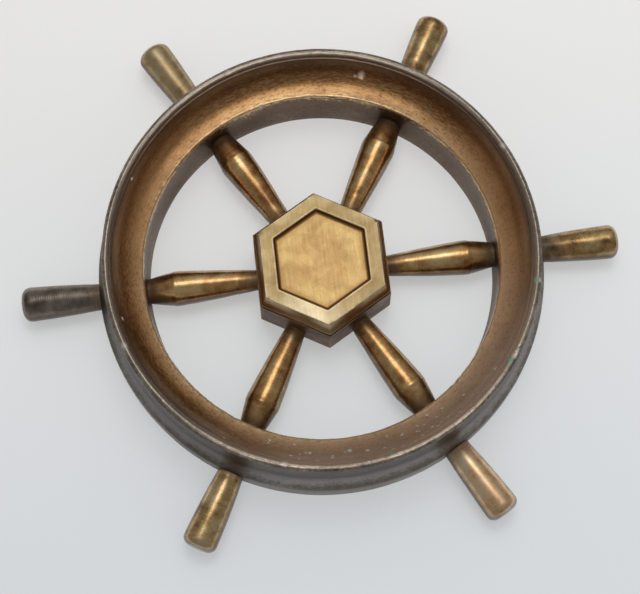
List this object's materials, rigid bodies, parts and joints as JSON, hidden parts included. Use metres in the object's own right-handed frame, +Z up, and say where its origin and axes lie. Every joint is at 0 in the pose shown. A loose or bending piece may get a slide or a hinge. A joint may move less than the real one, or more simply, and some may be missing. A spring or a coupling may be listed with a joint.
{
  "type": "ship steering wheel",
  "caption": "Desk-size brass ship's wheel: coved and lipped ring rim, turned spokes and outer handles, hexagonal hub with a sunk panel, turning on a flanged pivot sleeve.",
  "frame": {"origin": "centre of the rim's foot plane, on the wheel's axis", "axes": "+Z up along the wheel's axis towards the hub's sunk panel, +X along spoke 1 and handle 1; spokes are numbered anticlockwise seen from +Z"},
  "size_m": [0.1446, 0.1276, 0.0226],
  "materials": {
    "rim_brass": "aged, brown patina in the cove, brushed towards the bore, grey outside",
    "turned_brass": "turned, glossy, darker at the ends",
    "handle_brass": "turned, worn and mottled",
    "hub_brass": "dark patina",
    "cap_brass": "worn bright on top, brown in the coves",
    "screw_brass": "plain",
    "sleeve_brass": "machined",
    "steel": "plain"
  },
  "bodies": {
    "pivot": {"pivot_sleeve": "sleeve_brass", "thrust_washer": "steel", "retaining_washer": "steel", "retaining_screw": "steel"},
    "wheel": {"rim": "rim_brass", "spoke_1": "turned_brass", "spoke_2": "turned_brass", "spoke_3": "turned_brass", "spoke_4": "turned_brass", "spoke_5": "turned_brass", "spoke_6": "turned_brass", "handle_1": "handle_brass", "handle_2": "handle_brass", "handle_3": "handle_brass", "handle_4": "handle_brass", "handle_5": "handle_brass", "handle_6": "handle_brass", "tie_rod_1": "steel", "tie_rod_2": "steel", "tie_rod_3": "steel", "tie_rod_4": "steel", "tie_rod_5": "steel", "tie_rod_6": "steel", "hub_body": "hub_brass", "hub_cap": "cap_brass", "cap_screws": "screw_brass"}
  },
  "joints": [
    {"name": "wheel_turn", "type": "hinge", "parent": "pivot", "child": "wheel", "pos_m": [0, 0, 0], "axis": [0, 0, 1], "continuous": true}
  ]
}
